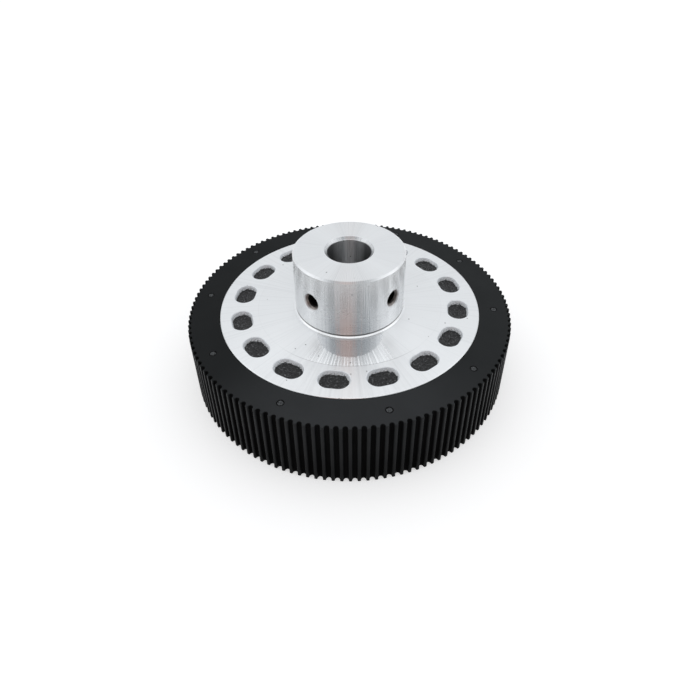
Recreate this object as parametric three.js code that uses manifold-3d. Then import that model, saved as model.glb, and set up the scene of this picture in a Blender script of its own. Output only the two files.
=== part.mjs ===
// Timing belt pulley: a toothed plastic rim moulded round a turned aluminium hub, with two set screws
// that lock the hub to its shaft.
// Millimetres, +Z up. The origin is on the bore axis, in the plane of the rear faces of hub and rim,
// and +Z runs along the bore towards the boss.
import * as THREE from 'three';
import { mergeVertices } from 'three/addons/utils/BufferGeometryUtils.js';
import Module from 'manifold-3d';

// Belt drive: 3 mm pitch, curvilinear teeth
const TEETH = 135;
const BELT_PITCH = 3;
const PITCH_LINE_OFFSET = 0.381;
const TIP_RADIUS = (TEETH * BELT_PITCH) / (2 * Math.PI) - PITCH_LINE_OFFSET;
const GROOVE_DEPTH = 1.28;
const GROOVE_FLOOR_RADIUS = 0.9;
const GROOVE_HALF_MOUTH = 0.955;
const FIRST_GROOVE_DEG = 1.78;

// Moulded rim and the web that carries it
const RIM_HEIGHT = 27;
const RIM_REAR_BORE_RADIUS = 56;
const WEB_THICKNESS = 4;
const SLEEVE_THICKNESS = 4;
const SLEEVE_END_Z = 4;
const RIB_COUNT = 10;
const RIB_THICKNESS = 3;
const RIB_END_Z = 7;
const FIRST_RIB_DEG = 30.5;

// Ejector pins leave shallow round marks on the rim's front face, one over each rib
const EJECTOR_MARK_RADIUS = 1.45;
const EJECTOR_MARK_DEPTH = 0.25;
const EJECTOR_CIRCLE_RADIUS = 57.85;

// Turned hub: a flange inside the rim and a boss in front of it
const FLANGE_RADIUS = 51.8;
const FLANGE_THICKNESS = 6;
const FLANGE_PROUD = 0.3;
const FLANGE_FRONT_Z = RIM_HEIGHT + FLANGE_PROUD;
const FLANGE_REAR_Z = FLANGE_FRONT_Z - FLANGE_THICKNESS;
const BOSS_RADIUS = 21.8;
const BOSS_HEIGHT = 25.3;
const HUB_LENGTH = FLANGE_FRONT_Z + BOSS_HEIGHT;
const BOSS_CHAMFER = 0.7;
const BORE_RADIUS = 8.5;
const BORE_CHAMFER = 1.1;

// Obround windows through the flange, which the moulding grips
const WINDOW_COUNT = 16;
const WINDOW_CIRCLE_RADIUS = 43.45;
const WINDOW_WIDTH = 8;
const WINDOW_LENGTH = 11.3;
const FIRST_WINDOW_DEG = 15;
const PLUG_SUNK_DEPTH = 1.8;

// Set screws, M6 x 6 with a hexagon socket and a cup point, backed off one turn from the shaft
const SCREW_AZIMUTHS_DEG = { set_screw_left: 228.7, set_screw_right: 318.7 };
const SCREW_HEIGHT_ABOVE_FLANGE = 12.6;
const SCREW_RADIUS = 2.95;
const SCREW_LENGTH = 6;
const SCREW_TIP_RADIAL_POSITION = BORE_RADIUS + 1;
const SCREW_END_CHAMFER = 0.5;
const CUP_RADIUS = 1.5;
const CUP_DEPTH = 0.8;
const SOCKET_ACROSS_FLATS = 3;
const SOCKET_DEPTH = 3.5;
const TAPPED_HOLE_RADIUS = SCREW_RADIUS + 0.08;
const COUNTERSINK_RADIUS = 3.8;

// Space left between pieces that touch on the real pulley
const SEAM = 0.3;
// How far a cutter runs past the material it cuts
const OVERCUT = 1;

const TURNED_SEGMENTS = 72;
const SCREW_SEGMENTS = 20;
const WINDOW_ARC_SEGMENTS = 3;
const GROOVE_ARC_SEGMENTS = 2;

const wasm = await Module();
wasm.setup();

function solidFrom(geometry) {
  const bare = geometry.clone();
  bare.deleteAttribute('normal');
  bare.deleteAttribute('uv');
  const merged = mergeVertices(bare, 1e-4);
  return new wasm.Manifold(new wasm.Mesh({
    numProp: 3,
    vertProperties: new Float32Array(merged.attributes.position.array),
    triVerts: new Uint32Array(merged.index.array),
  }));
}

function geometryFrom(solid) {
  const { vertProperties, triVerts } = solid.getMesh();
  const geometry = new THREE.BufferGeometry();
  geometry.setAttribute('position', new THREE.BufferAttribute(vertProperties, 3));
  geometry.setIndex(new THREE.BufferAttribute(triVerts, 1));
  geometry.computeVertexNormals();
  return geometry;
}

// Revolves [radius, z] corners about Z. The corners run anticlockwise in the r-z plane.
function revolved(corners, segments) {
  const points = corners.map(([radius, z]) => new THREE.Vector2(radius, z));
  if (corners[0][0] > 0) points.push(points[0].clone());
  const geometry = new THREE.LatheGeometry(points, segments);
  return solidFrom(geometry.rotateX(Math.PI / 2));
}

function extruded(shape, z0, z1, curveSegments) {
  const settings = { depth: z1 - z0, bevelEnabled: false, curveSegments };
  return solidFrom(new THREE.ExtrudeGeometry(shape, settings).translate(0, 0, z0));
}

// Angles of pieces spaced evenly round the axis
function anglesRound(count, firstDeg) {
  const first = THREE.MathUtils.degToRad(firstDeg);
  return Array.from({ length: count }, (_, i) => first + (i * 2 * Math.PI) / count);
}

function joined(solids) {
  return solids.reduce((whole, next) => whole.add(next));
}

// Outline of the toothed rim: each groove is a half-round floor with short flanks up to the tip circle.
function toothedOutline() {
  const outline = new THREE.Shape();
  const floorCentre = TIP_RADIUS - GROOVE_DEPTH + GROOVE_FLOOR_RADIUS;
  const halfMouthAngle = Math.asin(GROOVE_HALF_MOUTH / TIP_RADIUS);
  anglesRound(TEETH, FIRST_GROOVE_DEG).forEach((angle, i) => {
    const start = angle - halfMouthAngle;
    const end = angle + halfMouthAngle;
    const startPoint = [TIP_RADIUS * Math.cos(start), TIP_RADIUS * Math.sin(start)];
    if (i === 0) outline.moveTo(...startPoint);
    else outline.lineTo(...startPoint);
    outline.absarc(
      floorCentre * Math.cos(angle),
      floorCentre * Math.sin(angle),
      GROOVE_FLOOR_RADIUS,
      angle - Math.PI / 2,
      angle + Math.PI / 2,
      true,
    );
    outline.lineTo(TIP_RADIUS * Math.cos(end), TIP_RADIUS * Math.sin(end));
  });
  return outline;
}

function obround(width, length) {
  const radius = width / 2;
  const half = length / 2 - radius;
  const outline = new THREE.Shape();
  outline.moveTo(-radius, -half);
  outline.absarc(0, -half, radius, Math.PI, 2 * Math.PI, false);
  outline.absarc(0, half, radius, 0, Math.PI, false);
  return outline;
}

// One obround prism at each window, its long side along the circle
function windowPrisms(inset, z0, z1) {
  const outline = obround(WINDOW_WIDTH - 2 * inset, WINDOW_LENGTH - 2 * inset);
  const prism = extruded(outline, z0, z1, WINDOW_ARC_SEGMENTS).translate([WINDOW_CIRCLE_RADIUS, 0, 0]);
  return anglesRound(WINDOW_COUNT, FIRST_WINDOW_DEG)
    .map((angle) => prism.rotate([0, 0, THREE.MathUtils.radToDeg(angle)]));
}

// Everything inside the teeth that isn't plastic: the flange's seat, the barrel's hole and the rear recess
function rimHollow() {
  const seatRadius = FLANGE_RADIUS + SEAM;
  const barrelRadius = BOSS_RADIUS + SEAM;
  const webTop = FLANGE_REAR_Z - SEAM;
  const webBottom = webTop - WEB_THICKNESS;
  const flangeSeat = revolved([
    [0, webTop], [seatRadius, webTop], [seatRadius, RIM_HEIGHT + OVERCUT], [0, RIM_HEIGHT + OVERCUT],
  ], TURNED_SEGMENTS);
  const barrelHole = revolved([
    [0, -OVERCUT], [barrelRadius, -OVERCUT], [barrelRadius, webTop + OVERCUT], [0, webTop + OVERCUT],
  ], TURNED_SEGMENTS);
  const sleeveRadius = barrelRadius + SLEEVE_THICKNESS;
  const recess = revolved([
    [0, -OVERCUT], [RIM_REAR_BORE_RADIUS, -OVERCUT], [RIM_REAR_BORE_RADIUS, webBottom],
    [sleeveRadius, webBottom], [sleeveRadius, SLEEVE_END_Z], [0, SLEEVE_END_Z],
  ], TURNED_SEGMENTS);
  return flangeSeat.add(barrelHole).add(recess.subtract(ribs()));
}

// Radial ribs that stiffen the web between the sleeve and the rim
function ribs() {
  const start = BOSS_RADIUS + SEAM + SLEEVE_THICKNESS / 2;
  const length = RIM_REAR_BORE_RADIUS + OVERCUT - start;
  const height = FLANGE_REAR_Z - RIB_END_Z;
  const box = solidFrom(new THREE.BoxGeometry(length, RIB_THICKNESS, height))
    .translate([start + length / 2, 0, RIB_END_Z + height / 2]);
  return joined(anglesRound(RIB_COUNT, FIRST_RIB_DEG)
    .map((angle) => box.rotate([0, 0, THREE.MathUtils.radToDeg(angle)])));
}

function ejectorMarks() {
  const mark = revolved([
    [0, RIM_HEIGHT - EJECTOR_MARK_DEPTH], [EJECTOR_MARK_RADIUS, RIM_HEIGHT - EJECTOR_MARK_DEPTH],
    [EJECTOR_MARK_RADIUS, RIM_HEIGHT + OVERCUT], [0, RIM_HEIGHT + OVERCUT],
  ], SCREW_SEGMENTS).translate([EJECTOR_CIRCLE_RADIUS, 0, 0]);
  return joined(anglesRound(RIB_COUNT, FIRST_RIB_DEG)
    .map((angle) => mark.rotate([0, 0, THREE.MathUtils.radToDeg(angle)])));
}

// The moulding: toothed rim, web, sleeve and ribs, with a plug rising into each flange window
function toothedRim() {
  const blank = extruded(toothedOutline(), 0, RIM_HEIGHT, GROOVE_ARC_SEGMENTS);
  const plugTop = FLANGE_FRONT_Z - PLUG_SUNK_DEPTH;
  const plugs = joined(windowPrisms(SEAM, FLANGE_REAR_Z - SEAM - OVERCUT, plugTop));
  return blank.subtract(rimHollow()).subtract(ejectorMarks()).add(plugs);
}

// A solid of revolution lying along a set screw's axis: its own z = 0 is on the bore axis of the hub.
function alongScrewAxis(solid, azimuthDeg) {
  return solid.rotate([0, 90, azimuthDeg]).translate([0, 0, FLANGE_FRONT_Z + SCREW_HEIGHT_ABOVE_FLANGE]);
}

function tappedHole(azimuthDeg) {
  const coneStart = BOSS_RADIUS - (COUNTERSINK_RADIUS - TAPPED_HOLE_RADIUS);
  const mouth = COUNTERSINK_RADIUS + OVERCUT;
  const cutter = revolved([
    [0, 0], [TAPPED_HOLE_RADIUS, 0], [TAPPED_HOLE_RADIUS, coneStart],
    [mouth, BOSS_RADIUS + OVERCUT], [0, BOSS_RADIUS + OVERCUT],
  ], SCREW_SEGMENTS);
  return alongScrewAxis(cutter, azimuthDeg);
}

// The turned insert: a barrel through the whole pulley with the flange near its middle
function hubFlange() {
  const turned = revolved([
    [BORE_RADIUS + BORE_CHAMFER, 0],
    [BOSS_RADIUS - BOSS_CHAMFER, 0],
    [BOSS_RADIUS, BOSS_CHAMFER],
    [BOSS_RADIUS, FLANGE_REAR_Z],
    [FLANGE_RADIUS, FLANGE_REAR_Z],
    [FLANGE_RADIUS, FLANGE_FRONT_Z],
    [BOSS_RADIUS, FLANGE_FRONT_Z],
    [BOSS_RADIUS, HUB_LENGTH - BOSS_CHAMFER],
    [BOSS_RADIUS - BOSS_CHAMFER, HUB_LENGTH],
    [BORE_RADIUS + BORE_CHAMFER, HUB_LENGTH],
    [BORE_RADIUS, HUB_LENGTH - BORE_CHAMFER],
    [BORE_RADIUS, BORE_CHAMFER],
  ], TURNED_SEGMENTS);
  const windows = joined(windowPrisms(0, FLANGE_REAR_Z - OVERCUT, FLANGE_FRONT_Z + OVERCUT));
  const tappedHoles = Object.values(SCREW_AZIMUTHS_DEG).map(tappedHole);
  return tappedHoles.reduce((hub, hole) => hub.subtract(hole), turned.subtract(windows));
}

function setScrew(azimuthDeg) {
  const tip = SCREW_TIP_RADIAL_POSITION;
  const end = tip + SCREW_LENGTH;
  const body = revolved([
    [0, tip + CUP_DEPTH],
    [CUP_RADIUS, tip],
    [SCREW_RADIUS - SCREW_END_CHAMFER, tip],
    [SCREW_RADIUS, tip + SCREW_END_CHAMFER],
    [SCREW_RADIUS, end - SCREW_END_CHAMFER],
    [SCREW_RADIUS - SCREW_END_CHAMFER, end],
    [0, end],
  ], SCREW_SEGMENTS);
  const socketRadius = SOCKET_ACROSS_FLATS / Math.sqrt(3);
  const socket = solidFrom(new THREE.CylinderGeometry(socketRadius, socketRadius, SOCKET_DEPTH + OVERCUT, 6)
    .rotateX(Math.PI / 2)).translate([0, 0, end + (OVERCUT - SOCKET_DEPTH) / 2]);
  return alongScrewAxis(body.subtract(socket), azimuthDeg);
}

const moulded = new THREE.MeshStandardMaterial({ color: 0x26282a, roughness: 0.55, metalness: 0 });
const machined = new THREE.MeshStandardMaterial({ color: 0xd9dcde, roughness: 0.32, metalness: 1 });

function blackenedSteel() {
  return new THREE.MeshStandardMaterial({ color: 0x1d1d1f, roughness: 0.45, metalness: 0.8 });
}

const pulley = new THREE.Group();

function addPiece(name, solid, material) {
  const mesh = new THREE.Mesh(geometryFrom(solid), material);
  mesh.name = name;
  pulley.add(mesh);
}

addPiece('toothed_rim', toothedRim(), moulded);
addPiece('hub_flange', hubFlange(), machined);
Object.entries(SCREW_AZIMUTHS_DEG)
  .forEach(([name, azimuthDeg]) => addPiece(name, setScrew(azimuthDeg), blackenedSteel()));

export default pulley;
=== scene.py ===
"""Timing belt pulley: a black toothed rim moulded round a turned aluminium hub with two set screws.

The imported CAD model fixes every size. Each CAD node is replaced here by a finer mesh of the same shape:
rounded teeth, broken edges, real screw threads, and the rough plastic that filled the hub's windows.
All lengths are in millimetres until a mesh is made.
"""
import math
from types import SimpleNamespace

import bpy
from mathutils import Matrix, Quaternion, Vector, noise


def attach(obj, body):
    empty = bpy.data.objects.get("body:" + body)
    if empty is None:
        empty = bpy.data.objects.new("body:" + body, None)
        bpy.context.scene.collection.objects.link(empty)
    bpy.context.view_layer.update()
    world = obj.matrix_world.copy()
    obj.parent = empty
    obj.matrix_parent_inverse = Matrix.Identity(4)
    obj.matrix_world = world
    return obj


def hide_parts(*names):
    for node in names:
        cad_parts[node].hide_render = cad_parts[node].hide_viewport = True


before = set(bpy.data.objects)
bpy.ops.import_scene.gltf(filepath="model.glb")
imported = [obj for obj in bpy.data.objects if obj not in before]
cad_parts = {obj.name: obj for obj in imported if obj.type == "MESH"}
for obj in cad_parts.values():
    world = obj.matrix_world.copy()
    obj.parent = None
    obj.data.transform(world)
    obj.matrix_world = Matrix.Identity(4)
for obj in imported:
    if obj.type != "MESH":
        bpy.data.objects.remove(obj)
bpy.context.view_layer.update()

MM = 0.001
FULL_TURN = 2 * math.pi

# Toothed rim
TEETH = 135
TIP_RADIUS = 64.077
GROOVE_DEPTH = 1.28
GROOVE_FLOOR_RADIUS = 0.9
GROOVE_HALF_MOUTH = 0.955
PLASTIC_BEHIND_GROOVES = 0.6
FIRST_GROOVE_DEG = 1.78
TIP_ROUNDING = 0.22
TOOTH_END_BEVEL = 0.12
RIM_HEIGHT = 27.0
RIM_SEAT_RADIUS = 51.86
SEAT_LIP = 0.15
RIM_REAR_BORE_RADIUS = 56.0
REAR_EDGE_CHAMFER = 0.4
WEB_TOP_Z = 21.27
WEB_UNDERSIDE_Z = 17.0
WEB_CORNER_BEVEL = 0.8
SLEEVE_INNER_RADIUS = 21.86
SLEEVE_OUTER_RADIUS = 26.1
SLEEVE_END_Z = 4.0
RIB_COUNT = 10
RIB_THICKNESS = 3.0
RIB_END_Z = 7.0
RIB_EDGE_BEVEL = 0.4
FIRST_RIB_DEG = 30.5
EJECTOR_CIRCLE_RADIUS = 57.85
EJECTOR_MARK_RADIUS = 1.45
EJECTOR_MARK_DEPTH = 0.25
EJECTOR_RING_WIDTH = 0.38
EJECTOR_DISC_DEPTH = 0.05
EJECTOR_DISC_CROWN = 0.03
EJECTOR_DISC_BEVEL = 0.1
EJECTOR_RING_DRAFT = 0.05

# Aluminium hub
FLANGE_RADIUS = 51.8
FLANGE_FRONT_Z = 27.3
FLANGE_REAR_Z = 21.3
FLANGE_REAR_BREAK = 0.15
FLANGE_FRONT_BREAK_WIDTH = 0.4
FLANGE_FRONT_BREAK_DROP = 0.1
BOSS_RADIUS = 21.8
BOSS_CHAMFER = 0.7
BASE_CONE_WIDTH = 0.62
BASE_CONE_HEIGHT = 0.38
UNDERCUT = 0.12
UNDERCUT_TOP = 1.15
HUB_LENGTH = 52.6
BORE_RADIUS = 8.5
BORE_CHAMFER = 1.1
WINDOW_COUNT = 16
FIRST_WINDOW_DEG = 15.0
WINDOW_CIRCLE_RADIUS = 43.45
WINDOW_WIDTH = 8.0
WINDOW_LENGTH = 11.3
WINDOW_EDGE_ROUNDING = 0.45
WINDOW_TAPER = 0.5
PLUG_TOP_Z = FLANGE_FRONT_Z - 1.8
PLUG_EDGE_INSET = 0.3
PLUG_RINGS = 30
PLUG_RING_CROWDING = 1.3
PLUG_CENTRE_GAP = 0.05
PLUG_CREEP_REACH = 0.45

# Set screws and their tapped holes
SCREW_AZIMUTHS_DEG = {"left_screw": 228.7, "right_screw": 318.7}
SCREW_AXIS_Z = 39.9
THREAD_PITCH = 1.0
THREAD_DEPTH = 0.54
THREAD_CREST_SHARE = 0.125
THREAD_FLANK_SHARE = 0.625
HOLE_THREAD_RADIUS = 3.03
COUNTERSINK_RADIUS = 3.8
SCREW_RADIUS = 2.95
SCREW_TIP = 9.5
SCREW_END = 15.5
SCREW_END_CHAMFER = 0.5
CUP_RADIUS = 1.5
CUP_DEPTH = 0.8
SOCKET_ACROSS_FLATS = 3.0
SOCKET_DEPTH = 3.5
SOCKET_POINT_RADIUS = 0.1
SOCKET_POINT_DEPTH = 0.8

# How far a cutter runs past what it cuts, and the radius of the small end that closes a pointed skin
OVERCUT = 1.0
POINT_RADIUS = 0.02

# Fineness of the meshes
HUB_SEGMENTS = 360
EJECTOR_SEGMENTS = 48
THREAD_SEGMENTS = 40
THREAD_ROWS_PER_MM = 12


# ---------------------------------------------------------------- meshes

def mesh_object(name, points, faces):
    """A new object from points in millimetres."""
    mesh = bpy.data.meshes.new(name)
    mesh.from_pydata([(x * MM, y * MM, z * MM) for x, y, z in points], [], faces)
    piece = bpy.data.objects.new(name, mesh)
    bpy.context.collection.objects.link(piece)
    return piece


def skin(name, rings, closed=False, caps=True):
    """Joins rings of equally many points by quads. closed joins the last to the first, caps fill the ends."""
    count = len(rings[0])
    pairs = [(i, i + 1) for i in range(len(rings) - 1)]
    if closed:
        pairs.append((len(rings) - 1, 0))
    faces = []
    for low, high in pairs:
        for i in range(count):
            j = (i + 1) % count
            faces.append((low * count + i, low * count + j, high * count + j, high * count + i))
    if caps and not closed:
        faces.append(tuple(reversed(range(count))))
        faces.append(tuple(range((len(rings) - 1) * count, len(rings) * count)))
    return mesh_object(name, [point for ring in rings for point in ring], faces)


def circle(radius, z, angles):
    return [(radius * math.cos(angle), radius * math.sin(angle), z) for angle in angles]


def angles_round(count, first_deg=0.0):
    return [math.radians(first_deg) + FULL_TURN * i / count for i in range(count)]


def arc(centre, radius, from_deg, to_deg, steps):
    """Points of an arc in a profile, from one angle to the other."""
    turns = [math.radians(from_deg + (to_deg - from_deg) * i / steps) for i in range(steps + 1)]
    return [(centre[0] + radius * math.cos(t), centre[1] + radius * math.sin(t)) for t in turns]


def turned(name, profile, segments):
    """Revolves a closed [radius, z] profile, which runs anticlockwise, about Z."""
    angles = angles_round(segments)
    return skin(name, [circle(radius, z, angles) for radius, z in profile], closed=True)


def apply_modifiers(piece):
    evaluated = piece.evaluated_get(bpy.context.evaluated_depsgraph_get())
    mesh = bpy.data.meshes.new_from_object(evaluated)
    piece.modifiers.clear()
    piece.data = mesh


def join(name, pieces):
    """Joins pieces into the first one."""
    with bpy.context.temp_override(active_object=pieces[0], selected_editable_objects=pieces):
        bpy.ops.object.join()
    pieces[0].name = name
    return pieces[0]


def cut(piece, cutters):
    """Cuts the cutters out of the piece. The cut faces take the cutter's material."""
    for cutter in cutters:
        modifier = piece.modifiers.new(cutter.name, "BOOLEAN")
        modifier.operation = "DIFFERENCE"
        modifier.solver = "EXACT"
        modifier.material_mode = "TRANSFER"
        modifier.object = cutter
    apply_modifiers(piece)
    for cutter in cutters:
        bpy.data.objects.remove(cutter)


def smooth(piece, sharp_above_deg=35.0):
    piece.data.shade_smooth()
    piece.data.set_sharp_from_angle(angle=math.radians(sharp_above_deg))


def turn_about_axis(piece, azimuth_deg):
    piece.data.transform(Matrix.Rotation(math.radians(azimuth_deg), 4, "Z"))


# ---------------------------------------------------------------- node trees

class Nodes:
    """Adds nodes to a tree. Each method returns the socket that the next node takes."""

    def __init__(self, tree):
        self.tree = tree

    def add(self, kind, inputs=(), **settings):
        node = self.tree.nodes.new(kind)
        for name, value in settings.items():
            setattr(node, name, value)
        for key, value in dict(inputs).items():
            if isinstance(value, bpy.types.NodeSocket):
                self.tree.links.new(value, node.inputs[key])
            else:
                node.inputs[key].default_value = value
        return node

    def math(self, operation, a, b=0.0, c=0.0):
        return self.add("ShaderNodeMath", {0: a, 1: b, 2: c}, operation=operation).outputs[0]

    def times(self, a, b):
        return self.math("MULTIPLY", a, b)

    def plus(self, base, value, factor):
        """base + value x factor."""
        return self.math("MULTIPLY_ADD", value, factor, base)

    def inverse(self, mask):
        return self.math("SUBTRACT", 1.0, mask)

    def about_zero(self, pattern):
        return self.math("SUBTRACT", pattern, 0.5)

    def steps(self, value, low, high, to_low=0.0, to_high=1.0):
        """Smooth change from to_low, where value is low, to to_high."""
        inputs = {"Value": value, "From Min": low, "From Max": high, "To Min": to_low, "To Max": to_high}
        node = self.add("ShaderNodeMapRange", inputs, interpolation_type="SMOOTHSTEP")
        return node.outputs["Result"]

    def noise(self, vector, scale, detail=2.0, roughness=0.5):
        inputs = {"Vector": vector, "Scale": scale, "Detail": detail, "Roughness": roughness}
        return self.add("ShaderNodeTexNoise", inputs).outputs["Fac"]

    def mix(self, factor, a, b):
        inputs = {"Factor": factor, 6: a, 7: b}
        return self.add("ShaderNodeMix", inputs, data_type="RGBA").outputs[2]

    def layers(self, tone, layers):
        """Lays colours over a tone, each by its own factor."""
        for factor, colour in layers:
            tone = self.mix(factor, tone, colour)
        return tone

    def scaled(self, vector, scale):
        return self.add("ShaderNodeVectorMath", {0: vector, 1: scale}, operation="MULTIPLY").outputs[0]

    def bump(self, height, distance, normal=None):
        inputs = {"Height": height, "Distance": distance * MM, "Strength": 1.0}
        if normal is not None:
            inputs["Normal"] = normal
        return self.add("ShaderNodeBump", inputs).outputs["Normal"]

    def spots(self, vector, spacing, radius, share):
        """Round spots of that radius, one in the given share of cells of that spacing. 1 inside a spot."""
        cells = self.add("ShaderNodeTexVoronoi", {"Vector": vector, "Scale": 1 / spacing})
        near = self.steps(cells.outputs["Distance"], radius / spacing, 0.6 * radius / spacing)
        chosen = self.math("LESS_THAN", self.separate(cells.outputs["Color"])[0], share)
        return self.times(near, chosen)

    def separate(self, vector):
        return self.add("ShaderNodeSeparateXYZ", {0: vector}).outputs

    def millimetres(self):
        """Place on the piece, in millimetres."""
        place = self.add("ShaderNodeTexCoord").outputs["Object"]
        return self.scaled(place, (1 / MM, 1 / MM, 1 / MM))


def grey(level):
    return level, level, level, 1.0


def new_material(name, **settings):
    """A material with those constant settings, the Nodes of its tree and its Principled node."""
    material = bpy.data.materials.new(name)
    material.use_nodes = True
    nodes = Nodes(material.node_tree)
    shader = material.node_tree.nodes["Principled BSDF"]
    for key, value in settings.items():
        shader.inputs[key.replace("_", " ")].default_value = value
    return material, nodes, shader


def link_shader(nodes, shader, tone, roughness, normal):
    for name, socket in (("Base Color", tone), ("Roughness", roughness), ("Normal", normal)):
        nodes.tree.links.new(socket, shader.inputs[name])


def polar(nodes, place):
    """Radius about Z, height, and the direction from the axis as a vector of length 1."""
    x, y, z = nodes.separate(place)
    flat = nodes.add("ShaderNodeCombineXYZ", {"X": x, "Y": y}).outputs[0]
    radius = nodes.add("ShaderNodeVectorMath", {0: flat}, operation="LENGTH").outputs["Value"]
    direction = nodes.add("ShaderNodeVectorMath", {0: flat}, operation="NORMALIZE").outputs[0]
    return radius, z, direction


# ---------------------------------------------------------------- turned aluminium

ALUMINIUM = (0.875, 0.885, 0.895, 1.0)
DULLER_ALUMINIUM = (0.78, 0.79, 0.80, 1.0)
MIRROR_ZONE_PAINTED_REFLECTION = (0.68, 0.69, 0.71, 1.0)
SCRATCH = (0.42, 0.43, 0.44, 1.0)
BAND = (0.45, 0.46, 0.47, 1.0)
PAINTED_STREAK_REFLECTION = (0.42, 0.41, 0.41, 1.0)
PAINTED_BORE_SIDE_SHADE = (0.16, 0.165, 0.17, 1.0)
PAINTED_CHAMFER_REFLECTION = (0.5, 0.51, 0.52, 1.0)
PAINTED_STEP_SHADE = (0.45, 0.45, 0.46, 1.0)
PAINTED_UNDERCUT_SHADE = (0.10, 0.095, 0.09, 1.0)
PIT = (0.06, 0.055, 0.05, 1.0)

# On the flange a mirror-like zone ends at the first radius at the front, where it is widest. Off the front it
# is narrower by the narrowing x (1 - cos(azimuth from the front)), which fits where the reflection shows from
# the front; the zone's darker colour is painted reflection. A streaked zone ends at the second radius.
MIRROR_ZONE_RADIUS = 32.3
MIRROR_ZONE_NARROWING = 60.0
STREAK_ZONE_RADIUS = 36.9
ZONE_EDGE = 0.3
CHATTER_STRIPS = 94


def chatter_strips(nodes, direction):
    """What a chattering tool leaves: uneven radial strips from -1 to 1, narrow even ones from 0 to 1."""
    x, y, _ = nodes.separate(direction)
    azimuth = nodes.math("ARCTAN2", y, x)
    wander = nodes.times(nodes.noise(direction, 5.0), 5.0)
    phase = nodes.plus(wander, azimuth, CHATTER_STRIPS)
    doubled = nodes.math("SINE", nodes.plus(1.0, phase, 2.0))
    both = nodes.plus(nodes.times(nodes.math("SINE", phase), 0.5), doubled, 0.6)
    strength = nodes.steps(nodes.noise(direction, 17.0), 0.3, 0.7, 0.3, 1.0)
    return nodes.times(both, strength), nodes.plus(0.5, doubled, 0.5)


def hub_surface(nodes):
    """Places, masks from 0 to 1 and patterns on the hub that its colour, roughness and relief share."""
    at = SimpleNamespace(place=nodes.millimetres())
    at.radius, at.z, at.direction = polar(nodes, at.place)
    normal = nodes.add("ShaderNodeTexCoord").outputs["Normal"]
    at.upright = nodes.math("ABSOLUTE", nodes.separate(normal)[2])
    at.on_face = nodes.steps(at.upright, 0.6, 0.9)
    at.on_flange = nodes.times(at.on_face, nodes.steps(at.z, FLANGE_FRONT_Z + 2, FLANGE_FRONT_Z + 1))
    at.to_front_or_back = nodes.math("ABSOLUTE", nodes.separate(at.direction)[1])
    at.strips, at.narrow_strips = chatter_strips(nodes, at.direction)
    section = nodes.add("ShaderNodeCombineXYZ", {"X": at.radius, "Y": at.z}).outputs[0]
    at.passes = nodes.noise(section, 4.0, 3.0, 0.7)
    at.blotches = nodes.noise(at.place, 0.12, 3.0)
    at.pits = nodes.spots(at.place, 4.5, 0.3, 0.6)
    mark_flange_zones(nodes, at)
    mark_bore(nodes, at)
    return at


def mark_flange_zones(nodes, at):
    """The face is mirror-like round the boss, then streaked, then satin. Both outer zones have ridges."""
    off_front = nodes.math("ADD", nodes.separate(at.direction)[1], 1.0)
    narrowed = nodes.plus(at.radius, off_front, MIRROR_ZONE_NARROWING)
    serrated = nodes.plus(narrowed, at.strips, 0.5)
    past_mirror = nodes.steps(serrated, MIRROR_ZONE_RADIUS - ZONE_EDGE, MIRROR_ZONE_RADIUS + ZONE_EDGE)
    clear_of_boss = nodes.steps(at.radius, BOSS_RADIUS + 0.9, BOSS_RADIUS + 2.3)
    at.on_mirror = nodes.times(nodes.times(at.on_flange, nodes.inverse(past_mirror)), clear_of_boss)
    at.past_streaks = nodes.steps(at.radius, STREAK_ZONE_RADIUS, STREAK_ZONE_RADIUS + ZONE_EDGE)
    at.on_ridges = nodes.times(at.on_flange, past_mirror)
    at.in_streaks = nodes.times(at.on_ridges, nodes.inverse(at.past_streaks))


def mark_bore(nodes, at):
    at.in_bore = nodes.steps(at.radius, BORE_RADIUS + 0.3, BORE_RADIUS + 0.1)
    mouth = BORE_RADIUS + BORE_CHAMFER
    near_bore = nodes.steps(at.radius, mouth + 0.02, mouth - 0.04)
    at.on_bore_chamfer = nodes.times(near_bore, nodes.inverse(at.in_bore))


def hub_roughness(nodes, at):
    sharp_streaks = nodes.times(at.in_streaks, nodes.steps(at.to_front_or_back, 0.86, 0.97, 0.25, 1.0))
    near_cone = nodes.times(
        nodes.steps(at.radius, BOSS_RADIUS + 0.75, BOSS_RADIUS + 0.65),
        nodes.steps(at.z, FLANGE_FRONT_Z + 0.42, FLANGE_FRONT_Z + 0.36),
    )
    changes = [
        (at.on_mirror, -0.25),
        (sharp_streaks, -0.18),
        (nodes.times(at.on_flange, at.past_streaks), -0.06),
        (at.on_bore_chamfer, -0.08),
        (at.in_bore, 0.06),
        (nodes.times(near_cone, at.on_flange), -0.2),
        (nodes.about_zero(at.passes), 0.05),
        (nodes.about_zero(at.blotches), 0.06),
    ]
    roughness = nodes.plus(0.27, at.on_face, 0.1)
    for where, change in changes:
        roughness = nodes.plus(roughness, where, change)
    return roughness


def painted_boss_end_streaks(nodes, at):
    """Painted reflection: strips on the boss's end, stronger on its chamfer. They show only near the front
    and the back.
    """
    on_end = nodes.steps(at.z, HUB_LENGTH - BOSS_CHAMFER - 0.02, HUB_LENGTH - BOSS_CHAMFER + 0.04)
    on_chamfer = nodes.times(on_end, nodes.steps(at.upright, 0.85, 0.8))
    strength = nodes.times(nodes.steps(on_chamfer, 0.0, 1.0, 0.16, 0.5), on_end)
    strength = nodes.times(strength, nodes.steps(at.to_front_or_back, 0.9, 0.98))
    return nodes.times(strength, at.narrow_strips)


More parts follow.
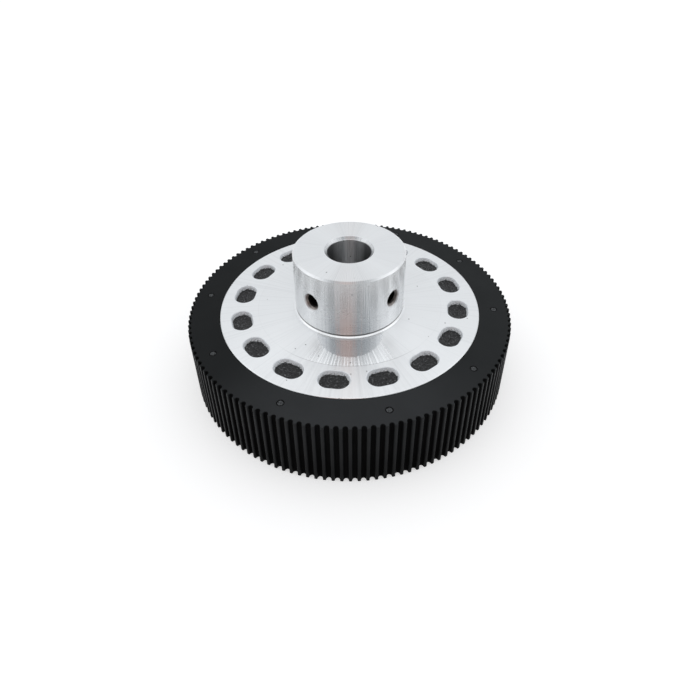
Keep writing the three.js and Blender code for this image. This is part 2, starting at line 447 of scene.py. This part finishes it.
def painted_step_shade(nodes, at):
    """Painted shade along the fine line where the streaked zone ends, fainter at the sides."""
    from_step = nodes.math("ABSOLUTE", nodes.math("SUBTRACT", at.radius, STREAK_ZONE_RADIUS))
    line = nodes.times(at.on_flange, nodes.steps(from_step, 0.22, 0.05))
    return nodes.times(line, nodes.steps(at.to_front_or_back, 0.7, 0.95, 0.1, 1.0))


def painted_undercut_shade(nodes, at):
    # painted shade in the undercut at the boss's base
    near_base = nodes.times(
        nodes.steps(at.z, FLANGE_FRONT_Z + 1.3, FLANGE_FRONT_Z + 1.1),
        nodes.steps(at.z, FLANGE_FRONT_Z + 0.36, FLANGE_FRONT_Z + 0.42),
    )
    return nodes.times(near_base, nodes.steps(at.radius, BOSS_RADIUS - 0.02, BOSS_RADIUS - 0.08))


def hub_tone(nodes, at):
    scratches = nodes.steps(nodes.noise(at.direction, 42.0, 2.0, 0.6), 0.5, 0.66)
    bands = nodes.steps(nodes.noise(at.direction, 5.5, 1.5), 0.4, 0.6, 0.13, 0.0)
    bore_bands = nodes.steps(nodes.noise(at.direction, 4.5, 3.0), 0.42, 0.58, 0.0, 0.35)
    # painted shade: the bore's wall is darker at its sides than at the front and back
    painted_bore_side_shade = nodes.steps(at.to_front_or_back, 0.97, 0.6, 0.0, 0.85)
    return nodes.layers(ALUMINIUM, [
        (nodes.times(at.blotches, 0.12), DULLER_ALUMINIUM),
        # painted reflection: the mirror zone's metal is darker
        (nodes.times(at.on_mirror, 0.35), MIRROR_ZONE_PAINTED_REFLECTION),
        (nodes.times(scratches, nodes.steps(at.on_face, 0.0, 1.0, 0.13, 0.09)), SCRATCH),
        (nodes.times(bands, nodes.inverse(at.on_face)), BAND),
        # painted reflection: radial streaks on the boss's end, only at the front and back
        (painted_boss_end_streaks(nodes, at), PAINTED_STREAK_REFLECTION),
        (nodes.times(at.in_bore, bore_bands), BAND),
        (nodes.times(at.in_bore, painted_bore_side_shade), PAINTED_BORE_SIDE_SHADE),
        # painted reflection: the bore's chamfer is darker than the end face
        (nodes.times(at.on_bore_chamfer, 0.45), PAINTED_CHAMFER_REFLECTION),
        # painted shade at the tool's step
        (nodes.times(painted_step_shade(nodes, at), 0.6), PAINTED_STEP_SHADE),
        # painted shade in the undercut
        (nodes.times(painted_undercut_shade(nodes, at), 0.8), PAINTED_UNDERCUT_SHADE),
        (nodes.times(at.pits, 0.85), PIT),
    ])


def tilted_normal(nodes, direction, tilt):
    """The surface normal leaning away from the axis by that slope."""
    normal = nodes.add("ShaderNodeNewGeometry").outputs["Normal"]
    lean = nodes.add("ShaderNodeVectorMath", {0: direction, "Scale": tilt}, operation="SCALE").outputs[0]
    leaning = nodes.add("ShaderNodeVectorMath", {0: normal, 1: lean}, operation="ADD").outputs[0]
    return nodes.add("ShaderNodeVectorMath", {0: leaning}, operation="NORMALIZE").outputs[0]


def hub_normal(nodes, at):
    """The tool's ridges lean away from the axis, each strip by its own slope. Finer relief is a bump."""
    crests = nodes.steps(at.strips, -0.1, 0.7, 0.0, 0.1)
    streaked = nodes.plus(nodes.math("ADD", crests, 0.085), at.narrow_strips, 0.02)
    satin = nodes.plus(0.085, at.strips, 0.06)
    tilt = nodes.add("ShaderNodeMix", {0: at.past_streaks, 2: streaked, 3: satin}).outputs[0]
    tilt = nodes.plus(tilt, nodes.about_zero(nodes.noise(at.direction, 13.0, 2.0)), 0.06)
    tilt = nodes.times(tilt, at.on_ridges)
    on_boss_end = nodes.times(at.on_face, nodes.steps(at.z, HUB_LENGTH - 1, HUB_LENGTH - 0.5))
    tilt = nodes.plus(tilt, nodes.times(on_boss_end, at.strips), 0.04)
    normal = tilted_normal(nodes, at.direction, tilt)

    fine = nodes.about_zero(nodes.noise(at.direction, 14.0, 2.0, 0.45))
    waves = nodes.times(nodes.plus(fine, at.strips, 0.16), nodes.steps(at.on_face, 0.0, 1.0, 1.0, 0.2))
    normal = nodes.bump(waves, 0.1, normal)
    turning_marks = nodes.times(at.passes, nodes.steps(at.on_face, 0.0, 1.0, 0.15, 1.0))
    normal = nodes.bump(turning_marks, 0.004, normal)
    return nodes.bump(nodes.inverse(at.pits), 0.08, normal)


def turned_aluminium():
    """Bright metal whose turning marks run round the axis and draw its highlights out across them."""
    material, nodes, shader = new_material(
        "turned_aluminium", Metallic=1.0, Anisotropic=0.95, Anisotropic_Rotation=0.25
    )
    at = hub_surface(nodes)
    link_shader(nodes, shader, hub_tone(nodes, at), hub_roughness(nodes, at), hub_normal(nodes, at))
    tangent = nodes.add("ShaderNodeTangent", direction_type="RADIAL", axis="Z").outputs[0]
    nodes.tree.links.new(tangent, shader.inputs["Tangent"])
    return material


# ---------------------------------------------------------------- the other materials

WALL_METAL = (0.87, 0.91, 0.94, 1.0)
PALER_WALL_METAL = (0.96, 0.98, 1.0, 1.0)
PLASTIC_ON_WALL = (0.15, 0.16, 0.17, 1.0)

THREAD_METAL = (0.36, 0.335, 0.32, 1.0)
OIL_FILM = (0.12, 0.10, 0.09, 1.0)
PAINTED_HOLE_SHADE = (0.010, 0.009, 0.008, 1.0)
COUNTERSINK_METAL = (0.62, 0.62, 0.63, 1.0)

BLACK_PLASTIC = (0.0145, 0.0158, 0.0164, 1.0)
PAINTED_LIGHT_TO_RIGHT = (0.0235, 0.0254, 0.0264, 1.0)
PAINTED_LIGHT_IN_FRONT = (0.0365, 0.0385, 0.0405, 1.0)
FLOW_MARK = (0.012, 0.013, 0.0135, 1.0)
RUBBED_LAND_AND_SHEEN = (0.045, 0.048, 0.05, 1.0)
PIN_DISC = (0.013, 0.0135, 0.014, 1.0)
PALER_PIN_DISC = (0.095, 0.100, 0.105, 1.0)
GRANULES = (0.012, 0.012, 0.013, 1.0)
PALER_GRANULES = (0.18, 0.185, 0.19, 1.0)

BLACK_OXIDE = (0.018, 0.018, 0.02, 1.0)
WORN_STEEL = (0.12, 0.115, 0.11, 1.0)


def window_wall():
    """The windows' walls: rough light metal with specks of plastic on it, more of them lower down."""
    material, nodes, shader = new_material("window_wall", Metallic=0.15)
    place = nodes.millimetres()
    grain = nodes.noise(place, 1.8, 4.0, 0.65)
    specks = nodes.steps(nodes.noise(place, 2.2, 3.0, 0.75), 0.46, 0.57)
    depth = nodes.math("SUBTRACT", FLANGE_FRONT_Z, nodes.separate(place)[2])
    dirt = nodes.times(specks, nodes.steps(depth, 0.3, 1.8, 0.15, 0.9))
    metal = nodes.mix(nodes.steps(grain, 0.35, 0.65), WALL_METAL, PALER_WALL_METAL)
    tone = nodes.mix(dirt, metal, PLASTIC_ON_WALL)
    link_shader(nodes, shader, tone, nodes.steps(grain, 0.2, 0.8, 0.35, 0.6), nodes.bump(grain, 0.12))
    return material


def tapped_thread():
    """The threads: bright at the countersink, then dull under a brown film of oil, and black deep inside by
    painted shade.
    """
    material, nodes, shader = new_material("tapped_thread", Metallic=1.0)
    place = nodes.millimetres()
    radius, _, _ = polar(nodes, place)
    film = nodes.noise(place, 0.9, 3.0)
    # painted shade: black deeper in the hole
    deep = nodes.steps(radius, BOSS_RADIUS - 0.8, BOSS_RADIUS - 1.7)
    on_countersink = nodes.steps(radius, BOSS_RADIUS - 0.55, BOSS_RADIUS - 0.25)
    tone = nodes.layers(THREAD_METAL, [
        (film, OIL_FILM),
        (deep, PAINTED_HOLE_SHADE),
        (on_countersink, COUNTERSINK_METAL),
    ])
    roughness = nodes.steps(film, 0.2, 0.8, 0.3, 0.5)
    link_shader(nodes, shader, tone, roughness, nodes.bump(nodes.noise(place, 6.0), 0.02))
    return material


def moulded_plastic():
    """Matte black moulding, paler to the right and in front by painted light, blackest in the grooves and low
    down by painted shade.
    """
    material, nodes, shader = new_material("moulded_plastic", Specular_IOR_Level=0.035)
    place = nodes.millimetres()
    radius, z, direction = polar(nodes, place)
    to_right, to_back, _ = nodes.separate(direction)
    flow = nodes.noise(place, 0.09, 2.0)
    dust = nodes.spots(place, 7.0, 0.16, 0.06)
    on_land = nodes.steps(radius, TIP_RADIUS - 0.25, TIP_RADIUS - 0.02)
    in_groove = nodes.times(
        nodes.steps(radius, TIP_RADIUS - 0.25, TIP_RADIUS - 0.7),
        nodes.steps(z, RIM_HEIGHT - 0.1, RIM_HEIGHT - 0.4),
    )
    painted_shade_low_on_teeth = nodes.times(nodes.steps(z, RIM_HEIGHT - 3.0, 0.0), nodes.steps(radius, 60.0, 62.0))
    tone = nodes.layers(BLACK_PLASTIC, [
        # painted light: paler to the right and in front
        (nodes.steps(to_right, -0.9, 0.9), PAINTED_LIGHT_TO_RIGHT),
        (nodes.steps(to_back, -0.6, -1.0), PAINTED_LIGHT_IN_FRONT),
        (nodes.times(flow, 0.3), FLOW_MARK),
        # lands paler from rubbing and from a painted sheen
        (nodes.times(on_land, 0.5), RUBBED_LAND_AND_SHEEN),
        # painted shade: blackest in the grooves
        (nodes.times(in_groove, 0.8), grey(0.001)),
        # painted shade: darker low down on the teeth
        (nodes.times(painted_shade_low_on_teeth, 0.75), grey(0.002)),
        (nodes.times(dust, 0.6), grey(0.4)),
    ])
    roughness = nodes.plus(nodes.steps(flow, 0.2, 0.8, 0.44, 0.54), on_land, -0.1)
    roughness = nodes.plus(roughness, in_groove, 0.3)
    link_shader(nodes, shader, tone, roughness, nodes.bump(nodes.noise(place, 4.5, 3.0, 0.6), 0.012))
    return material


def pin_mark_plastic():
    """The disc that an ejector pin pressed, paler and rougher than the face, in a ring groove painted black
    as shade.
    """
    material, nodes, shader = new_material("pin_mark_plastic", Specular_IOR_Level=0.1)
    place = nodes.millimetres()
    grain = nodes.noise(place, 2.0, 3.0, 0.7)
    height = nodes.separate(place)[2]
    on_disc = nodes.steps(height, RIM_HEIGHT - EJECTOR_MARK_DEPTH, RIM_HEIGHT - EJECTOR_DISC_DEPTH)
    disc = nodes.mix(nodes.steps(grain, 0.35, 0.65), PIN_DISC, PALER_PIN_DISC)
    # painted shade: the ring groove round the disc is black
    tone = nodes.mix(on_disc, grey(0.0005), disc)
    link_shader(nodes, shader, tone, nodes.steps(grain, 0.3, 0.7, 0.55, 0.35), nodes.bump(grain, 0.15))
    return material


def granular_plastic():
    """Plastic that ran through the windows and set without touching a mould: rough and greyer."""
    material, nodes, shader = new_material("granular_plastic", Specular_IOR_Level=0.4)
    place = nodes.millimetres()
    grain = nodes.noise(place, 1.6, 4.0, 0.7)
    patches = nodes.steps(nodes.noise(place, 0.45, 2.0), 0.35, 0.65, 0.35, 1.0)
    pale = nodes.times(nodes.steps(grain, 0.52, 0.68), patches)
    tone = nodes.mix(pale, GRANULES, PALER_GRANULES)
    lumps = nodes.bump(nodes.noise(place, 3.5, 4.0, 0.7), 0.2)
    link_shader(nodes, shader, tone, nodes.steps(grain, 0.3, 0.7, 0.6, 0.42), lumps)
    return material


def blackened_steel():
    """Black-oxide screw steel, worn to bare metal on the raised grain."""
    material, nodes, shader = new_material("blackened_steel", Metallic=0.9)
    place = nodes.millimetres()
    wear = nodes.steps(nodes.noise(place, 1.8, 4.0, 0.7), 0.6, 0.75)
    tone = nodes.mix(wear, BLACK_OXIDE, WORN_STEEL)
    roughness = nodes.steps(wear, 0.0, 1.0, 0.5, 0.34)
    link_shader(nodes, shader, tone, roughness, nodes.bump(nodes.noise(place, 7.0, 2.0), 0.01))
    return material


# ---------------------------------------------------------------- the rim

def groove_profile(inset):
    """One groove as (distance along the tip circle, radius) pairs. inset moves it into the plastic."""
    tip = TIP_RADIUS - inset
    half_mouth = GROOVE_HALF_MOUTH + inset
    rounding = TIP_ROUNDING - inset
    floor_centre = (0.0, TIP_RADIUS - GROOVE_DEPTH + GROOVE_FLOOR_RADIUS)
    corner = arc((half_mouth + rounding, tip - rounding), rounding, 90, 180, 3)
    floor = arc(floor_centre, GROOVE_FLOOR_RADIUS + inset, 0, -180, 10)
    mirrored = [(-along, radius) for along, radius in reversed(corner)]
    return [(-along, radius) for along, radius in corner + floor + mirrored]


def toothed_angles_and_radii(inset):
    profile = groove_profile(inset)
    return [
        (angle + along / TIP_RADIUS, radius)
        for angle in angles_round(TEETH, FIRST_GROOVE_DEG)
        for along, radius in profile
    ]


def rim_body():
    """The toothed ring with the flange's seat, the web and the sleeve, all in one skin."""
    edge = toothed_angles_and_radii(0.0)
    bevelled = toothed_angles_and_radii(TOOTH_END_BEVEL)
    angles = [angle for angle, _ in edge]

    def toothed(outline, z):
        return [(radius * math.cos(angle), radius * math.sin(angle), z) for angle, radius in outline]

    root_radius = TIP_RADIUS - GROOVE_DEPTH - PLASTIC_BEHIND_GROOVES
    inner = [
        (root_radius, RIM_HEIGHT),
        (RIM_SEAT_RADIUS + SEAT_LIP, RIM_HEIGHT),
        (RIM_SEAT_RADIUS, RIM_HEIGHT - SEAT_LIP),
        (RIM_SEAT_RADIUS, WEB_TOP_Z),
        (SLEEVE_INNER_RADIUS, WEB_TOP_Z),
        (SLEEVE_INNER_RADIUS, SLEEVE_END_Z),
        (SLEEVE_OUTER_RADIUS - REAR_EDGE_CHAMFER, SLEEVE_END_Z),
        (SLEEVE_OUTER_RADIUS, SLEEVE_END_Z + REAR_EDGE_CHAMFER),
        (SLEEVE_OUTER_RADIUS, WEB_UNDERSIDE_Z - WEB_CORNER_BEVEL),
        (SLEEVE_OUTER_RADIUS + WEB_CORNER_BEVEL, WEB_UNDERSIDE_Z),
        (RIM_REAR_BORE_RADIUS - WEB_CORNER_BEVEL, WEB_UNDERSIDE_Z),
        (RIM_REAR_BORE_RADIUS, WEB_UNDERSIDE_Z - WEB_CORNER_BEVEL),
        (RIM_REAR_BORE_RADIUS, REAR_EDGE_CHAMFER),
        (RIM_REAR_BORE_RADIUS + REAR_EDGE_CHAMFER, 0.0),
        (root_radius, 0.0),
    ]
    rings = [
        toothed(bevelled, 0.0),
        toothed(edge, TOOTH_END_BEVEL),
        toothed(edge, RIM_HEIGHT - TOOTH_END_BEVEL),
        toothed(bevelled, RIM_HEIGHT),
    ]
    rings += [circle(radius, z, angles) for radius, z in inner]
    return skin("moulded_rim", rings, closed=True)


def ejector_mark_cutter(azimuth_deg):
    """What an ejector pin leaves in the front face: a ring groove round a shallow disc."""
    angles = angles_round(EJECTOR_SEGMENTS)
    floor_z = RIM_HEIGHT - EJECTOR_MARK_DEPTH
    disc_z = RIM_HEIGHT - EJECTOR_DISC_DEPTH
    disc_radius = EJECTOR_MARK_RADIUS - EJECTOR_RING_WIDTH
    profile = [
        (POINT_RADIUS, disc_z + EJECTOR_DISC_CROWN),
        (disc_radius - EJECTOR_DISC_BEVEL, disc_z),
        (disc_radius, floor_z),
        (EJECTOR_MARK_RADIUS - EJECTOR_RING_DRAFT, floor_z),
        (EJECTOR_MARK_RADIUS, RIM_HEIGHT + OVERCUT),
    ]
    rings = [circle(radius, z, angles) for radius, z in profile]
    cutter = skin(f"ejector_mark_{azimuth_deg:.0f}", rings)
    cutter.data.transform(Matrix.Translation((EJECTOR_CIRCLE_RADIUS * MM, 0, 0)))
    turn_about_axis(cutter, azimuth_deg)
    return cutter


def rib(azimuth_deg):
    """A rib behind an ejector mark, with bevelled lower edges. Its ends run into the sleeve and the rim."""
    start = SLEEVE_OUTER_RADIUS - OVERCUT
    end = RIM_REAR_BORE_RADIUS + OVERCUT
    half = RIB_THICKNESS / 2
    sections = [(half - RIB_EDGE_BEVEL, RIB_END_Z)]
    sections += [(half, RIB_END_Z + RIB_EDGE_BEVEL), (half, WEB_UNDERSIDE_Z + OVERCUT)]
    rings = [[(start, -w, z), (end, -w, z), (end, w, z), (start, w, z)] for w, z in sections]
    piece = skin(f"rib_{azimuth_deg:.0f}", rings)
    turn_about_axis(piece, azimuth_deg)
    return piece


def moulded_rim():
    azimuths = [FIRST_RIB_DEG + 360 * i / RIB_COUNT for i in range(RIB_COUNT)]
    plastic = moulded_plastic()
    ribs = [rib(azimuth) for azimuth in azimuths]
    body = rim_body()
    for piece in [body] + ribs:
        piece.data.materials.append(plastic)
    marks = join("ejector_marks", [ejector_mark_cutter(azimuth) for azimuth in azimuths])
    marks.data.materials.append(pin_mark_plastic())
    cut(body, [marks])
    rim = join("moulded_rim", [body] + ribs)
    smooth(rim)
    return rim


# ---------------------------------------------------------------- windows and their plugs

def obround(inset, z, arc_steps=24, side_steps=5):
    """Outline of a window, its long side along the circle. Every inset gives equally many points."""
    radius = WINDOW_WIDTH / 2 - inset
    half = (WINDOW_LENGTH - WINDOW_WIDTH) / 2
    ends = arc((0, half), radius, 0, 180, arc_steps)
    side = [(-radius, half - 2 * half * i / side_steps) for i in range(1, side_steps)]
    far_end = arc((0, -half), radius, 180, 360, arc_steps)
    far_side = [(radius, -half + 2 * half * i / side_steps) for i in range(1, side_steps)]
    outline = ends + side + far_end + far_side
    return [(WINDOW_CIRCLE_RADIUS + x, y, z) for x, y in outline]


def window_cutter(azimuth_deg):
    """An obround prism that widens towards the flange's face, where the edge is rounded."""
    rounding = WINDOW_EDGE_ROUNDING
    rings = [obround(WINDOW_TAPER, FLANGE_REAR_Z - OVERCUT), obround(WINDOW_TAPER, PLUG_TOP_Z)]
    edge = arc((rounding, FLANGE_FRONT_Z - rounding), rounding, 180, 96, 8)
    rings += [obround(-distance, z) for distance, z in edge]
    rings.append(obround(-rounding, FLANGE_FRONT_Z + OVERCUT))
    cutter = skin(f"window_{azimuth_deg:.0f}", rings)
    turn_about_axis(cutter, azimuth_deg)
    return cutter


def plug_rise(spot, inset):
    """Height of the plug's rough top over its mean level. The plastic creeps up the wall here and there."""
    grain = 0.16 * noise.noise(spot * 1.3) + 0.07 * noise.noise(spot * 3.7)
    creep = max(0.0, 0.3 + 0.4 * noise.noise(spot * 1.2))
    return grain + creep * math.exp((PLUG_EDGE_INSET - inset) / PLUG_CREEP_REACH)


def window_plug(azimuth_deg):
    """The top of the plastic in one window, as rings that lie closer together near the wall."""
    seed = Vector((azimuth_deg, 0, 0))
    reach = WINDOW_WIDTH / 2 - PLUG_CENTRE_GAP - PLUG_EDGE_INSET
    rings = []
    for step in range(PLUG_RINGS):
        inset = PLUG_EDGE_INSET + reach * (step / (PLUG_RINGS - 1)) ** PLUG_RING_CROWDING
        outline = obround(inset, PLUG_TOP_Z, arc_steps=34, side_steps=12)
        rings.append([(x, y, z + plug_rise(Vector((x, y, 0)) + seed, inset)) for x, y, z in outline])
    plug = skin(f"plug_{azimuth_deg:.0f}", rings, caps=False)
    turn_about_axis(plug, azimuth_deg)
    return plug


def window_azimuths():
    return [FIRST_WINDOW_DEG + 360 * i / WINDOW_COUNT for i in range(WINDOW_COUNT)]


def window_plugs():
    plugs = join("window_plugs", [window_plug(azimuth) for azimuth in window_azimuths()])
    smooth(plugs, sharp_above_deg=80.0)
    return plugs


# ---------------------------------------------------------------- the hub

def along_screw_axis(piece, azimuth_deg):
    """Lays a piece built round its own Z along a tapped hole. Its z = 0 goes to the bore's axis."""
    lay = Matrix.Rotation(math.radians(azimuth_deg), 4, "Z") @ Matrix.Rotation(math.radians(90), 4, "Y")
    piece.data.transform(Matrix.Translation((0, 0, SCREW_AXIS_Z * MM)) @ lay)


def thread_radius(crest, z, angle):
    """Radius of a right-handed thread with flat crests and roots. Every thread here has the same phase."""
    phase = (z / THREAD_PITCH - angle / FULL_TURN) % 1.0
    from_crest = abs(phase - 0.5) * 2
    down_flank = (from_crest - THREAD_CREST_SHARE) / THREAD_FLANK_SHARE
    return crest - THREAD_DEPTH * min(max(down_flank, 0.0), 1.0)


def threaded(name, crest, start, end, limit, start_rings=()):
    """A threaded rod. limit(radius, z) changes the thread's radius at its ends."""
    angles = angles_round(THREAD_SEGMENTS)
    rows = round((end - start) * THREAD_ROWS_PER_MM)
    rings = [circle(radius, z, angles) for radius, z in start_rings]
    for row in range(rows + 1):
        z = start + (end - start) * row / rows
        radii = [limit(thread_radius(crest, z, angle), z) for angle in angles]
        rings.append([(r * math.cos(a), r * math.sin(a), z) for r, a in zip(radii, angles)])
    return skin(name, rings)


def tapped_hole_cutter(azimuth_deg):
    def countersunk(radius, z):
        return max(radius, COUNTERSINK_RADIUS + z - BOSS_RADIUS)

    start = BORE_RADIUS - OVERCUT
    end = BOSS_RADIUS + OVERCUT
    cutter = threaded(f"tapped_hole_{azimuth_deg:.0f}", HOLE_THREAD_RADIUS, start, end, countersunk)
    along_screw_axis(cutter, azimuth_deg)
    return cutter


def hub_profile():
    """Section of the turned blank, from the rear end round by the outside to the bore."""
    return [
        (BORE_RADIUS + BORE_CHAMFER, 0.0),
        (BOSS_RADIUS - BOSS_CHAMFER, 0.0),
        (BOSS_RADIUS, BOSS_CHAMFER),
        (BOSS_RADIUS, FLANGE_REAR_Z),
        (FLANGE_RADIUS - FLANGE_REAR_BREAK, FLANGE_REAR_Z),
        (FLANGE_RADIUS, FLANGE_REAR_Z + FLANGE_REAR_BREAK),
        (FLANGE_RADIUS, FLANGE_FRONT_Z - 2 * FLANGE_FRONT_BREAK_DROP),
        (FLANGE_RADIUS - FLANGE_FRONT_BREAK_DROP, FLANGE_FRONT_Z - FLANGE_FRONT_BREAK_DROP),
        (FLANGE_RADIUS - FLANGE_FRONT_BREAK_WIDTH, FLANGE_FRONT_Z),
        (BOSS_RADIUS + BASE_CONE_WIDTH, FLANGE_FRONT_Z),
        (BOSS_RADIUS, FLANGE_FRONT_Z + BASE_CONE_HEIGHT),
        (BOSS_RADIUS - UNDERCUT, FLANGE_FRONT_Z + BASE_CONE_HEIGHT + UNDERCUT),
        (BOSS_RADIUS - UNDERCUT, FLANGE_FRONT_Z + UNDERCUT_TOP - UNDERCUT),
        (BOSS_RADIUS, FLANGE_FRONT_Z + UNDERCUT_TOP),
        (BOSS_RADIUS, HUB_LENGTH - BOSS_CHAMFER),
        (BOSS_RADIUS - BOSS_CHAMFER, HUB_LENGTH),
        (BORE_RADIUS + BORE_CHAMFER, HUB_LENGTH),
        (BORE_RADIUS, HUB_LENGTH - BORE_CHAMFER),
        (BORE_RADIUS, BORE_CHAMFER),
    ]


def turned_hub():
    hub = turned("turned_hub", hub_profile(), HUB_SEGMENTS)
    hub.data.materials.append(turned_aluminium())
    windows = [window_cutter(azimuth) for azimuth in window_azimuths()]
    holes = [tapped_hole_cutter(azimuth) for azimuth in SCREW_AZIMUTHS_DEG.values()]
    wall = window_wall()
    thread = tapped_thread()
    for cutter in windows:
        cutter.data.materials.append(wall)
    for cutter in holes:
        cutter.data.materials.append(thread)
    cut(hub, [join("windows", windows)] + holes)
    smooth(hub, sharp_above_deg=12.0)
    return hub


# ---------------------------------------------------------------- set screws

def set_screw(name, azimuth_deg):
    """M6 set screw with a cup point at the bore's side and a hexagon socket at the other end."""
    end_radius = SCREW_RADIUS - SCREW_END_CHAMFER

    def chamfered(radius, z):
        from_end = min(z - SCREW_TIP, SCREW_END - z)
        return min(radius, end_radius + from_end)

    cup = [(POINT_RADIUS, SCREW_TIP + CUP_DEPTH), (CUP_RADIUS, SCREW_TIP)]
    screw = threaded(name, SCREW_RADIUS, SCREW_TIP, SCREW_END, chamfered, start_rings=cup)
    socket_radius = SOCKET_ACROSS_FLATS / math.sqrt(3)
    corners = angles_round(6)
    socket_end = SCREW_END - SOCKET_DEPTH
    rings = [circle(SOCKET_POINT_RADIUS, socket_end - SOCKET_POINT_DEPTH, corners)]
    rings += [circle(socket_radius, z, corners) for z in (socket_end, SCREW_END + OVERCUT)]
    cut(screw, [skin("socket", rings)])
    along_screw_axis(screw, azimuth_deg)
    smooth(screw, sharp_above_deg=30.0)
    return screw


# ---------------------------------------------------------------- the studio

FLOOR_SIZE = 3000.0
FLOOR_Z = -0.05
FLOOR_TONE = 0.65
FLOOR_GLOW = 0.5

TENT = (0.855, 0.875, 0.895, 1.0)
TENT_HIGH = (0.94, 0.96, 0.98, 1.0)
TENT_OVERHEAD = (1.2, 1.215, 1.23, 1.0)
TENT_BESIDE = (1.17, 1.19, 1.21, 1.0)
TENT_OPENING = (0.315, 0.34, 0.36, 1.0)
TENT_OPENING_MIDDLE = (0.49, 0.35, 0.315, 1.0)
BELOW_TENT = 0.08

CAMERA_DISTANCE = 224.61
CAMERA_ELEVATION_DEG = 38.10
CAMERA_YAW_DEG = -0.396
CAMERA_PITCH_DEG = 3.794
CAMERA_ROLL_DEG = -0.546
SENSOR_WIDTH = 36.0
FOCAL_LENGTH = 28.27
PICTURE_SHIFT = (-0.0045, -0.1214)


def floor():
    """A pale sheet. Diffuse rays pass it, so that it doesn't light the teeth, which are dark in the photo."""
    half = FLOOR_SIZE / 2
    corners = [(x, y, FLOOR_Z) for x, y in ((-half, -half), (half, -half), (half, half), (-half, half))]
    sheet = mesh_object("floor", corners, [(0, 1, 2, 3)])
    material, _, shader = new_material("pale_floor", Roughness=0.9, Specular_IOR_Level=0.0)
    shader.inputs["Base Color"].default_value = grey(FLOOR_TONE)
    shader.inputs["Emission Color"].default_value = grey(1.0)
    shader.inputs["Emission Strength"].default_value = FLOOR_GLOW
    sheet.data.materials.append(material)
    sheet.visible_diffuse = False


def sky_masks(nodes, to_right, z):
    """Where the tent's parts lie. to_right is the azimuth from the front, z the sine of the elevation."""
    def elevation(low_deg, high_deg):
        return nodes.steps(z, math.sin(math.radians(low_deg)), math.sin(math.radians(high_deg)))

    def turn(value, from_deg, to_deg):
        return nodes.steps(value, math.radians(from_deg), math.radians(to_deg))

    off_front = nodes.math("ABSOLUTE", to_right)
    opening_top = elevation(66, 54)
    return SimpleNamespace(
        high=elevation(25, 55),
        overhead=elevation(58, 78),
        beside=nodes.times(turn(off_front, 118, 100), elevation(60, 45)),
        opening=nodes.times(turn(off_front, 80, 28), opening_top),
        middle=nodes.times(nodes.times(turn(to_right, -27, -20), turn(to_right, 13, 6)), opening_top),
        below=nodes.steps(z, 0.02, -0.02),
    )


def studio_light():
    """A white light tent. Its opening, on the camera's side, is darker, and warm in the middle."""
    world = bpy.data.worlds.new("studio")
    world.use_nodes = True
    bpy.context.scene.world = world
    nodes = Nodes(world.node_tree)
    background = world.node_tree.nodes["Background"]
    x, y, z = nodes.separate(nodes.add("ShaderNodeTexCoord").outputs["Generated"])
    sky = sky_masks(nodes, nodes.math("ARCTAN2", x, nodes.times(y, -1.0)), z)
    seen = nodes.add("ShaderNodeLightPath").outputs["Is Camera Ray"]
    light = nodes.layers(TENT, [
        (sky.high, TENT_HIGH),
        (sky.overhead, TENT_OVERHEAD),
        (sky.beside, TENT_BESIDE),
        (sky.opening, TENT_OPENING),
        (sky.middle, TENT_OPENING_MIDDLE),
        (sky.below, grey(BELOW_TENT)),
        (seen, grey(1.0)),
    ])
    nodes.tree.links.new(light, background.inputs["Color"])
    background.inputs["Strength"].default_value = 1.0


def camera():
    """The photograph's view, from above the front. The lens is shifted, as the picture is a crop."""
    data = bpy.data.cameras.new("camera")
    data.sensor_width = SENSOR_WIDTH
    data.lens = FOCAL_LENGTH
    data.shift_x, data.shift_y = PICTURE_SHIFT
    data.clip_start = 0.01
    viewer = bpy.data.objects.new("camera", data)
    bpy.context.collection.objects.link(viewer)
    target = Vector((0, 0, FLANGE_FRONT_Z)) * MM
    elevation = math.radians(CAMERA_ELEVATION_DEG)
    viewer.location = target + Vector((0, -math.cos(elevation), math.sin(elevation))) * CAMERA_DISTANCE * MM
    aim = (target - viewer.location).to_track_quat("-Z", "Y")
    turns = [((0, 1, 0), CAMERA_YAW_DEG), ((1, 0, 0), CAMERA_PITCH_DEG), ((0, 0, 1), CAMERA_ROLL_DEG)]
    for axis, angle_deg in turns:
        aim = aim @ Quaternion(axis, math.radians(angle_deg))
    viewer.rotation_mode = "QUATERNION"
    viewer.rotation_quaternion = aim
    bpy.context.scene.camera = viewer


# ---------------------------------------------------------------- the whole part

def bind(piece, body, node, material=None):
    """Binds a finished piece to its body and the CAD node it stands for."""
    if material is not None:
        piece.data.materials.clear()
        piece.data.materials.append(material)
    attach(piece, body)
    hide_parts(node)


camera()
studio_light()
floor()
bpy.context.scene.view_settings.view_transform = "Standard"

bind(moulded_rim(), "pulley", "toothed_rim")
bind(window_plugs(), "pulley", "toothed_rim", granular_plastic())
bind(turned_hub(), "pulley", "hub_flange")
steel = blackened_steel()
for body, azimuth in SCREW_AZIMUTHS_DEG.items():
    node = f"set_screw_{body.removesuffix('_screw')}"
    bind(set_screw(f"{body}_thread", azimuth), body, node, steel)
